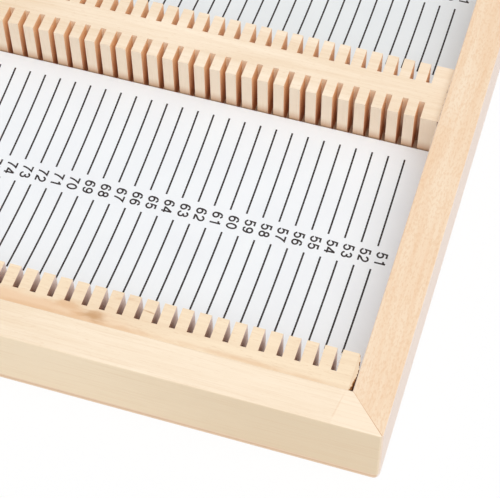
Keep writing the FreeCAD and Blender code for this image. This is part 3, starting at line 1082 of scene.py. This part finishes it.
@dataclass(frozen=True)
class FrontWallMarks:
    """The changes of tone along the base's front wall, placed from its right end and its front face."""

    dull_right: Stain = Stain((0.0, 0.0), (72 * MM, 60 * MM), TONES.dull_end, 0.9,
                              core=0.3, waver=0.1, direction=FRONT)
    paler_right: Stain = Stain((-20 * MM, 0.0), (85 * MM, 60 * MM), TONES.bright, 0.4,
                               core=0.1, direction=UP)
    bright_end: Stain = Stain((0.0, 0.0), (11.5 * MM, 60 * MM), TONES.bright, 0.35,
                              core=0.94, waver=0.03, direction=UP)
    splice: Stain = Stain((-10.8 * MM, 4.5 * MM), (0.3 * MM, 4.6 * MM), TONES.amber, 0.22,
                          turn=-0.15, waver=0.9, direction=UP)

    def placed(self, x: float, y: float) -> tuple[Stain, ...]:
        """Return the marks in the order they are laid on, for a wall whose corner is at x and y."""
        marks = (self.dull_right, self.paler_right, self.bright_end, self.splice)
        return tuple(mark.moved(x, y) for mark in marks)


@dataclass(frozen=True)
class FrontCombMarks:
    """The knot, the grain and painted shade on the front comb, placed from the middle of its front edge."""

    brown_run: Stain = Stain((24 * MM, 1 * MM), (38 * MM, 3.2 * MM), TONES.peach, 0.95,
                             core=0.3, waver=0.35)
    # Painted shade along the comb's front edge, below the front wall's inner edge.
    edge_shade: Stain = Stain((78 * MM, 0.6 * MM), (26 * MM, 1.0 * MM), TONES.amber, 0.42,
                        turn=-0.02, core=0.05, waver=0.5)
    long_edge_shade: Stain = Stain((40 * MM, 0.3 * MM), (40 * MM, 1.2 * MM), TONES.amber, 0.4,
                             core=0.05, waver=0.5)
    mottle: Stain = Stain((39 * MM, 2.8 * MM), (6.4 * MM, 2.1 * MM), TONES.amber, 0.55,
                          turn=-0.1, core=0.1, waver=0.8)
    knot: Stain = Stain((44.2 * MM, 1.75 * MM), (3.9 * MM, 1.75 * MM), TONES.knot, 0.9,
                        turn=-0.14, core=0.2, waver=0.5)
    tip_shade: Stain = Stain((49.2 * MM, 7.7 * MM), (3.6 * MM, 0.7 * MM), TONES.amber, 0.4,
                             turn=0.28, core=0.1, waver=0.5)
    grain_line: Stain = Stain((55.6 * MM, 6.1 * MM), (2.7 * MM, 0.3 * MM), TONES.knot, 0.75,
                              turn=-0.12, core=0.1, waver=0.3)

    def placed(self, y: float) -> tuple[Stain, ...]:
        """Return the marks in the order they are laid on, for a comb whose front edge is at y."""
        marks = (self.brown_run, self.edge_shade, self.long_edge_shade, self.mottle, self.knot,
                 self.tip_shade, self.grain_line)
        return tuple(mark.moved(0.0, y) for mark in marks)


def base_walls() -> Shell:
    """Describe the base's walls: a dull front with a bright spliced end, and warmer sides.

    Returns:
        The base's shell.
    """
    low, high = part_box("base_panel")
    mitre = Mitre(high.x, high.y, 0.0)
    front = PaleWood(
        "front_wall_wood", Axis.X, TONES.dull_cream, TONES.dull_straw, seed=0.11,
        streaks=0.5, pores=0.2, veins=0.14, mitre=mitre,
        sides=(Side(FRONT, TONES.dull_face, 0.8),),
        stains=FrontWallMarks().placed(high.x, low.y),
    )
    right = PaleWood(
        "right_wall_wood", Axis.Y, TONES.warm, TONES.peach, seed=0.37,
        streaks=0.4, pores=0.34, mitre=mitre,
        pore=TONES.tan, pore_start=0.47, pore_length=0.9 * MM, pore_width=0.36 * MM,
        # Painted pale light on both broad faces of the right wall.
        sides=(Side(RIGHT, TONES.painted_pale_light, 0.85), Side(LEFT, TONES.painted_pale_light, 0.85)),
    )
    left = PaleWood(
        "left_wall_wood", Axis.Y, TONES.warm, TONES.straw, seed=0.59,
        streaks=0.4, pores=0.3, mitre=mitre,
    )
    back = PaleWood(
        "back_wall_wood", Axis.X, TONES.cream, TONES.straw, seed=0.83,
        streaks=0.5, pores=0.2, mitre=mitre,
    )
    return Shell("base", {"front": front, "right": right, "left": left, "back": back})


def lid_walls() -> Shell:
    """Describe the lid's walls, cut from the same boards as the base's.

    Returns:
        The lid's shell.
    """
    low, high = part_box("lid_panel")
    centre_y = (low.y + high.y) / 2
    mitre = Mitre(high.x, (high.y - low.y) / 2, centre_y)
    long_wall = {"streaks": 0.5, "pores": 0.18, "mitre": mitre}
    side_wall = {"streaks": 0.35, "pores": 0.36, "mitre": mitre}
    finishes = {
        "front": PaleWood("lid_front_wood", Axis.X, TONES.cream, TONES.straw, seed=1.13, **long_wall),
        "back": PaleWood("lid_back_wood", Axis.X, TONES.dull_cream, TONES.straw, seed=1.37, **long_wall),
        "left": PaleWood("lid_left_wood", Axis.Y, TONES.warm, TONES.peach, seed=1.71, **side_wall),
        "right": PaleWood("lid_right_wood", Axis.Y, TONES.warm, TONES.straw, seed=1.93, **side_wall),
    }
    return Shell("lid", finishes)


Corners = list[list[bmesh.types.BMVert]]


def close_slab(mesh: bmesh.types.BMesh, back: Corners, outer: Corners) -> None:
    """Skin two matching grids of corners into one closed slab.

    Args:
        mesh: the mesh the corners are in.
        back: the rows of one side.
        outer: the rows of the other side.
    """
    rows, levels = len(back) - 1, len(back[0]) - 1
    for row in range(rows):
        for level in range(levels):
            for side in (back, outer):
                mesh.faces.new((side[row][level], side[row + 1][level],
                                side[row + 1][level + 1], side[row][level + 1]))
        for level in (0, levels):
            mesh.faces.new((back[row][level], back[row + 1][level],
                            outer[row + 1][level], outer[row][level]))
    for row in (0, rows):
        for level in range(levels):
            mesh.faces.new((back[row][level], back[row][level + 1],
                            outer[row][level + 1], outer[row][level]))


@dataclass
class RoughEnd:
    """Torn fibres at the sawn right end of a comb, as a ragged slab in the gap beside the wall."""

    node: str
    slot: str
    outline: tuple[Point, ...]
    finish: TornWood
    fullest: float = 0.92
    root: float = 0.05 * MM
    drop: float = 0.02 * MM
    least: float = 0.02 * MM
    coarse: float = 0.16 * MM
    fine: float = 0.22 * MM
    coarse_size: Point = (1.3 * MM, 3.0 * MM)
    coarse_layer: float = 3.1
    fine_size: Point = (0.35 * MM, 0.7 * MM)
    fine_layer: float = 7.7
    rows: int = 60
    levels: int = 26

    def edge(self, share: float) -> float:
        """Return how far the torn end reaches past the sawn one.

        Args:
            share: the place across the comb, 0 at its front and 1 at its back.

        Returns:
            The reach in metres.
        """
        for (start, low), (stop, high) in zip(self.outline, self.outline[1:]):
            if share <= stop:
                return (low + (high - low) * (share - start) / (stop - start)) * MM
        return self.outline[-1][1] * MM

    def reach(self, share: float, y: float, z: float) -> float:
        """Return the torn end's reach at one point, without the limits of the gap.

        Args:
            share: the place across the comb, 0 at its front and 1 at its back.
            y: the same place in the frame.
            z: the height in the frame.

        Returns:
            The reach in metres.
        """
        coarse = noise.noise(Vector((y / self.coarse_size[0], z / self.coarse_size[1], self.coarse_layer)))
        fine = noise.noise(Vector((y / self.fine_size[0], z / self.fine_size[1], self.fine_layer)))
        return self.edge(share) + self.coarse * coarse + self.fine * fine

    def build(self) -> None:
        """Build the slab."""
        low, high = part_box(self.node)
        most = (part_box("base_right_wall")[0].x - high.x) * self.fullest
        top = high.z - self.drop
        mesh = bmesh.new()
        back, outer = [], []
        for row in range(self.rows + 1):
            share = row / self.rows
            y = low.y + (high.y - low.y) * share
            back_column, outer_column = [], []
            for level in range(self.levels + 1):
                z = low.z + (top - low.z) * level / self.levels
                jag = min(max(self.reach(share, y, z), self.least), most)
                back_column.append(mesh.verts.new((high.x - self.root, y, z)))
                outer_column.append(mesh.verts.new((high.x + jag, y, z)))
            back.append(back_column)
            outer.append(outer_column)
        close_slab(mesh, back, outer)
        settle(f"{self.node}_rough_end", mesh, self.finish.material(), "base")


@dataclass
class SlideCombs:
    """The slotted combs at the front and back and the slotted divider between them."""

    backing: float = 3.7 * MM
    foot_shade_height: Point = (2.8 * MM, 6.4 * MM)
    front_end: tuple[Point, ...] = (
        (0.0, -0.2), (0.03, 0.0), (0.06, 0.25), (0.13, 0.4), (0.25, 0.55), (0.36, 0.8),
        (0.6, 0.85), (0.7, 0.6), (0.85, 0.42), (0.95, 0.3), (1.0, 0.05),
    )
    divider_end: tuple[Point, ...] = (
        (0.0, 0.2), (0.3, 0.28), (0.45, 0.16), (0.7, 0.2), (0.78, 0.36), (1.0, 0.38),
    )
    divider_coarse: float = 0.14 * MM
    divider_fine: float = 0.3 * MM
    fibre_share: float = 0.16
    fibre_seed: int = 5
    fibre_count: tuple[int, int] = (3, 7)
    fibre_side: float = 0.62 * MM
    fibre_behind: Point = (0.2, 4.0)
    fibre_below: Point = (0.1, 1.6)
    fibre_lean: tuple[Point, Point, Point] = ((0.5, 1.0), (-0.7, 0.7), (-0.6, 0.1))
    fibre_length: Point = (0.35, 0.8)
    fibre_half: float = 0.07 * MM
    fibre_flatness: float = 0.6

    def dress(self) -> None:
        """Give the combs and the divider their finishes."""
        self.dress_front()
        self.dress_back()
        self.dress_divider()

    def dress_front(self) -> None:
        """Give the front comb its finish, with a knot, the brown wood round it, a few grain lines, painted
        shade along its front edge and painted shade in its slots.
        """
        low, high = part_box("front_comb")
        wood = PaleWood(
            "front_comb_wood", Axis.X, TONES.cream, TONES.straw, seed=2.21,
            streaks=0.45, pores=0.24,
            # Painted shade on the slot sides, darker towards the slot roots.
            slot_shading=SlotShading(TONES.cut, TONES.cut_shaded_brown, low.y + self.backing, high.y, Axis.Y),
            stains=FrontCombMarks().placed(low.y),
        )
        dress("front_comb", wood.material())

    def dress_back(self) -> None:
        """Give the back comb its plain finish, with painted shade in its slots."""
        low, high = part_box("back_comb")
        wood = PaleWood(
            "back_comb_wood", Axis.X, TONES.cream, TONES.straw, seed=2.57,
            streaks=0.5, pores=0.14,
            # Painted shade on the slot sides, darker towards the slot roots.
            slot_shading=SlotShading(TONES.cut, TONES.cut_shaded, high.y - self.backing, low.y, Axis.Y),
        )
        dress("back_comb", wood.material())

    def dress_divider(self) -> None:
        """Give the divider its finish: rosy tooth fronts with painted shade at their foot, and orange-brown
        saw cuts with painted shade that darkens towards the bottom of the slots.
        """
        low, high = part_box("centre_divider")
        foot = (low.z + self.foot_shade_height[0], low.z + self.foot_shade_height[1])
        rosy_front = Side(FRONT, TONES.rose, 0.95, streaks=0.5)
        # Painted shade at the foot of the tooth fronts, where they stand over the paper.
        shaded_foot = Side(FRONT, TONES.foot, 0.85, foot=foot)
        wood = PaleWood(
            "divider_wood", Axis.X, TONES.bright, TONES.straw, seed=2.93,
            streaks=0.35, pores=0.2,
            # Painted shade in the slots, darker towards their bottom.
            slot_shading=SlotShading(TONES.amber_cut, TONES.amber_cut_shaded, low.z, high.z, Axis.Z),
            sides=(rosy_front, shaded_foot),
        )
        dress("centre_divider", wood.material())

    def build_rough_ends(self) -> None:
        """Build the torn right ends of the front comb and of the divider."""
        torn = TornWood("torn_comb_end", TONES.straw, TONES.torn, TONES.torn_shadow)
        RoughEnd("front_comb", "comb_wood", self.front_end, torn).build()
        torn = TornWood("torn_divider_end", TONES.cream, TONES.dark_torn, TONES.dark_torn_shadow)
        RoughEnd("centre_divider", "divider_wood", self.divider_end, torn,
                 coarse=self.divider_coarse, fine=self.divider_fine).build()

    def build_fibres(self) -> None:
        """Build the pale broken fibres that a few slots of the front comb have kept at their mouths."""
        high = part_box("front_comb")[1]
        draw = random.Random(self.fibre_seed)
        mesh = bmesh.new()
        for slot in range(SLOT_COUNT):
            if draw.random() > self.fibre_share:
                continue
            side = (slot - (SLOT_COUNT - 1) / 2) * SLOT_PITCH + self.fibre_side
            for _ in range(draw.randint(*self.fibre_count)):
                start = Vector((side, high.y - draw.uniform(*self.fibre_behind) * MM,
                                high.z - draw.uniform(*self.fibre_below) * MM))
                across, along, up = (draw.uniform(*limits) for limits in self.fibre_lean)
                lean = Vector((-across, along, up)).normalized()
                self.sliver(mesh, start, lean * draw.uniform(*self.fibre_length) * MM, self.fibre_half)
        finish = TornWood("loose_fibre", TONES.bright, TONES.cream, TONES.straw)
        settle("front_comb_fibres", mesh, finish.material(), "base")

    def sliver(self, mesh: bmesh.types.BMesh, start: Vector, reach: Vector, half: float) -> None:
        """Add one tapered splinter with four sides.

        Args:
            mesh: the mesh it goes into.
            start: the middle of its foot.
            reach: the way from its foot to its tip.
            half: half of its width at the foot.
        """
        side = reach.orthogonal().normalized() * half
        turned = reach.cross(side).normalized() * half * self.fibre_flatness
        foot = [mesh.verts.new(start + offset) for offset in (side, turned, -side, -turned)]
        tip = mesh.verts.new(start + reach)
        mesh.faces.new(foot[::-1])
        for corner in range(4):
            mesh.faces.new((foot[corner], foot[(corner + 1) % 4], tip))


@dataclass
class IndexSheet:
    """One printed sheet under a column of slides, bowed up at its two long edges."""

    side: str
    first_number: int
    line_offset: float = 1.24 * MM
    line_width: float = 0.43 * MM
    front_margin: float = 7.2 * MM
    back_margin: float = 3.55 * MM
    gap_start: float = 31.7 * MM
    gap: float = 6.57 * MM
    baseline: float = 0.3 * MM
    numeral_height: float = 2.57 * MM
    thickness: float = 0.2 * MM
    ripple: float = 0.1 * MM
    ripple_length: float = 38 * MM
    columns: int = 60
    rows: int = 36
    line_steps: int = 14

    def __post_init__(self) -> None:
        """Read the sheet's place from the frame."""
        self.low, self.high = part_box(f"index_sheet_{self.side}")
        self.middle = (self.low.y + self.high.y) / 2
        self.half = (self.high.y - self.low.y) / 2
        rise = self.high.z - self.low.z - self.thickness
        self.bow_radius = (self.half**2 + rise**2) / (2 * rise)

    def height(self, x: float, y: float) -> float:
        """Find the sheet's upper side.

        Args:
            x: the place across the box.
            y: the place from front to back.

        Returns:
            Its height there.
        """
        reach = min(abs(y - self.middle), self.half)
        bow = self.bow_radius - math.sqrt(self.bow_radius**2 - reach**2)
        wave = noise.noise(Vector((x / self.ripple_length, y / self.half, self.first_number)))
        dip = self.ripple * (reach / self.half) * (1 + wave) / 2
        return self.low.z + self.thickness + bow - dip

    def build(self, paper: bpy.types.Material, ink: bpy.types.Material) -> None:
        """Build the sheet in its paper, and its ruled lines and numbers in ink."""
        self.build_paper(paper)
        self.build_print(ink)

    def build_paper(self, paper: bpy.types.Material) -> None:
        """Build the bowed sheet as a thin closed slab.

        Args:
            paper: its finish.
        """
        mesh = bmesh.new()
        under, upper = [], []
        for row in range(self.rows + 1):
            y = self.low.y + (self.high.y - self.low.y) * row / self.rows
            under_row, upper_row = [], []
            for column in range(self.columns + 1):
                x = self.low.x + (self.high.x - self.low.x) * column / self.columns
                top = self.height(x, y)
                upper_row.append(mesh.verts.new((x, y, top)))
                under_row.append(mesh.verts.new((x, y, top - self.thickness)))
            under.append(under_row)
            upper.append(upper_row)
        close_slab(mesh, under, upper)
        piece = settle(f"index_paper_{self.side}", mesh, paper, "base")
        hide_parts(f"index_sheet_{self.side}")

    def build_print(self, ink: bpy.types.Material) -> None:
        """Print a broken line and a number for each slot.

        Args:
            ink: the finish of the lines and numbers.
        """
        rules, numbers = Pen(self.height), Pen(self.height)
        numerals = Numerals(self.numeral_height)
        first_slot = SLOT_PITCH * (SLOT_COUNT - 1) / 2
        gap_start = self.low.y + self.gap_start
        gap_stop = gap_start + self.gap
        for index in range(SLOT_COUNT):
            x = first_slot - index * SLOT_PITCH - self.line_offset
            for start, stop in ((self.low.y + self.front_margin, gap_start),
                                (gap_stop, self.high.y - self.back_margin)):
                steps = self.line_steps
                points = [(x, start + (stop - start) * n / steps) for n in range(steps + 1)]
                rules.stroke(points, self.line_width)
            number = str(self.first_number + index)
            middle = (x + self.baseline, (gap_start + gap_stop) / 2)
            numerals.write(numbers, number, middle, -math.pi / 2)
        settle(f"index_rules_{self.side}", rules.mesh, ink, "base")
        settle(f"index_numbers_{self.side}", numbers.mesh, ink, "base")


@dataclass
class LidTable:
    """The sheet in the lid, ruled for writing what each slide shows."""

    columns: int = 4
    rows: int = 25
    border: float = 5 * MM
    heavy_line: float = 0.4 * MM
    fine_line: float = 0.2 * MM
    number_column: float = 8 * MM
    numeral_height: float = 2.3 * MM
    lift: float = 1.7 * MM

    def build(self, paper: bpy.types.Material, ink: bpy.types.Material) -> None:
        """Dress the sheet and print its rules and numbers.

        Args:
            paper: the sheet's finish.
            ink: the finish of the rules and numbers.
        """
        dress("lid_index_sheet", paper)
        low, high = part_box("lid_index_sheet")
        left, right = low.x + self.border, high.x - self.border
        front, back = low.y + self.border, high.y - self.border
        width = (right - left) / self.columns
        depth = (back - front) / self.rows
        rules, numbers = Pen(lambda x, y: high.z), Pen(lambda x, y: high.z)
        for row in range(self.rows + 1):
            y = front + row * depth
            outer = row in (0, self.rows)
            rules.stroke([(left, y), (right, y)], self.heavy_line if outer else self.fine_line)
        for column in range(self.columns + 1):
            x = left + column * width
            rules.stroke([(x, front), (x, back)], self.heavy_line)
        for column in range(self.columns):
            x = left + column * width + self.number_column
            rules.stroke([(x, front), (x, back)], self.fine_line)
        numerals = Numerals(self.numeral_height)
        for index in range(self.columns * self.rows):
            column, row = divmod(index, self.rows)
            x = left + column * width + self.number_column / 2
            y = back - (row + 1) * depth + self.lift
            numerals.write(numbers, str(index + 1), (x, y), 0.0)
        settle("lid_table_rules", rules.mesh, ink, "lid")
        settle("lid_table_numbers", numbers.mesh, ink, "lid")


@dataclass
class Hardware:
    """The two butt hinges and the swivelling hook latch."""

    screw_bright: Colour = display(216, 180, 112)
    screw_dull: Colour = display(160, 122, 70)
    screw_surface: Surface = replace(Brass.surface, roughness=0.3)
    pin_surface: Surface = replace(Brass.surface, roughness=0.2)
    hook_patch: float = 2 * MM

    def dress(self) -> None:
        """Give the hinges, the latch and all their screws their finishes."""
        leaf = Brass("hinge_brass").material()
        pin = Brass("pin_brass", surface=self.pin_surface).material()
        screw = Brass("screw_brass", self.screw_bright, self.screw_dull, self.screw_surface).material()
        hook = Brass("latch_brass", patch=self.hook_patch).material()
        for side in ("left", "right"):
            dress(f"{side}_hinge_base_leaf", leaf)
            dress(f"{side}_hinge_lid_leaf", leaf)
            dress(f"{side}_hinge_pin", pin)
        for node in ("hinge_base_screws", "hinge_lid_screws", "latch_plate_screws", "catch_stud"):
            dress(node, screw)
        for node in ("latch_plate", "latch_rivet", "latch_hook"):
            dress(node, hook)


# ---- floor, light and viewpoint ----


@dataclass
class Studio:
    """A pale floor without an edge, even light from a white room and one broad soft lamp."""

    floor_half: float = 30.0
    floor_drop: float = 0.05 * MM
    floor_colour: Colour = display(250, 250, 250)
    floor_glow: float = 0.9
    room_strength: float = 0.67
    lamp_size: float = 1.2
    lamp_power: float = 8.1
    lamp_place: Vector3 = (0.44, -0.4, 1.18)

    def build_floor(self) -> None:
        """Lay the floor just under the box."""
        shader = Shader("floor_white")
        plain = shader.node("ShaderNodeBsdfDiffuse", {}, {"Color": self.floor_colour})
        glow = shader.node("ShaderNodeEmission", {}, {"Strength": 1.0})
        share = shader.background_rays() * self.floor_glow
        material = shader.close(shader.node("ShaderNodeMixShader", {}, {0: share, 1: plain, 2: glow}))
        mesh = bmesh.new()
        half, level = self.floor_half, -self.floor_drop
        corners = ((-half, -half, level), (half, -half, level), (half, half, level), (-half, half, level))
        mesh.faces.new([mesh.verts.new(corner) for corner in corners])
        add_object("floor", mesh, material)
        LOG.info("laid the floor")

    def light(self) -> None:
        """Light the room and hang the lamp."""
        shader = Shader("white_room", world=True)
        room, seen = (shader.node("ShaderNodeBackground", {}, {"Color": WHITE, "Strength": strength})
                      for strength in (self.room_strength, 1.0))
        mixed = shader.node("ShaderNodeMixShader", {}, {0: shader.background_rays(), 1: room, 2: seen})
        bpy.context.scene.world = shader.close(mixed)
        data = bpy.data.lights.new("soft_lamp", "AREA")
        data.shape = "SQUARE"
        data.size = self.lamp_size
        data.energy = self.lamp_power
        lamp = bpy.data.objects.new("soft_lamp", data)
        lamp.location = self.lamp_place
        lamp.rotation_mode = "QUATERNION"
        lamp.rotation_quaternion = (-Vector(self.lamp_place)).to_track_quat("-Z", "Y")
        lamp.visible_camera = False
        bpy.context.scene.collection.objects.link(lamp)
        LOG.info("lit the room")


@dataclass
class Viewpoint:
    """The camera, which looks down on the box's front right corner."""

    azimuth: float = 17.942
    elevation: float = 55.382
    roll: float = -0.872
    distance: float = 383.08 * MM
    lens: float = 122.83
    from_side: float = 41.53 * MM
    from_front: float = 42.63 * MM
    aim_height: float = 9 * MM
    clip: Point = (0.01, 60.0)

    def place(self) -> None:
        """Put the camera in the scene."""
        low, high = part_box("base_panel")
        aim = Vector((high.x - self.from_side, low.y + self.from_front, self.aim_height))
        turn, tilt = math.radians(self.azimuth), math.radians(self.elevation)
        back = Vector((math.sin(turn) * math.cos(tilt), -math.cos(turn) * math.cos(tilt), math.sin(tilt)))
        data = bpy.data.cameras.new("viewpoint")
        data.lens = self.lens
        data.clip_start, data.clip_end = self.clip
        camera = bpy.data.objects.new("viewpoint", data)
        level = (-back).to_track_quat("-Z", "Y").to_matrix().to_4x4()
        rolled = level @ Matrix.Rotation(math.radians(self.roll), 4, "Z")
        camera.matrix_world = Matrix.Translation(aim + back * self.distance) @ rolled
        bpy.context.scene.collection.objects.link(camera)
        bpy.context.scene.camera = camera
        LOG.info("placed the camera")


def main() -> None:
    """Build and dress every piece in order, then set up the studio."""
    logging.basicConfig(level=logging.INFO, format="%(message)s")
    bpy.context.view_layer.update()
    for shell in (base_walls(), lid_walls()):
        shell.dress()
    combs = SlideCombs()
    combs.dress()
    combs.build_rough_ends()
    combs.build_fibres()
    paper = IndexPaper("index_paper").material()
    ink = Ink("index_ink").material()
    IndexSheet("front", first_number=SLOT_COUNT + 1).build(paper, ink)
    shaded = IndexPaper("index_paper_back", SHADED_WHITE, SHADED_CLOUDY).material()
    IndexSheet("back", first_number=1).build(shaded, ink)
    LidTable().build(paper, ink)
    Hardware().dress()
    studio = Studio()
    studio.build_floor()
    studio.light()
    Viewpoint().place()
    bpy.context.scene.view_settings.view_transform = "Standard"


if __name__ == "__main__":
    main()
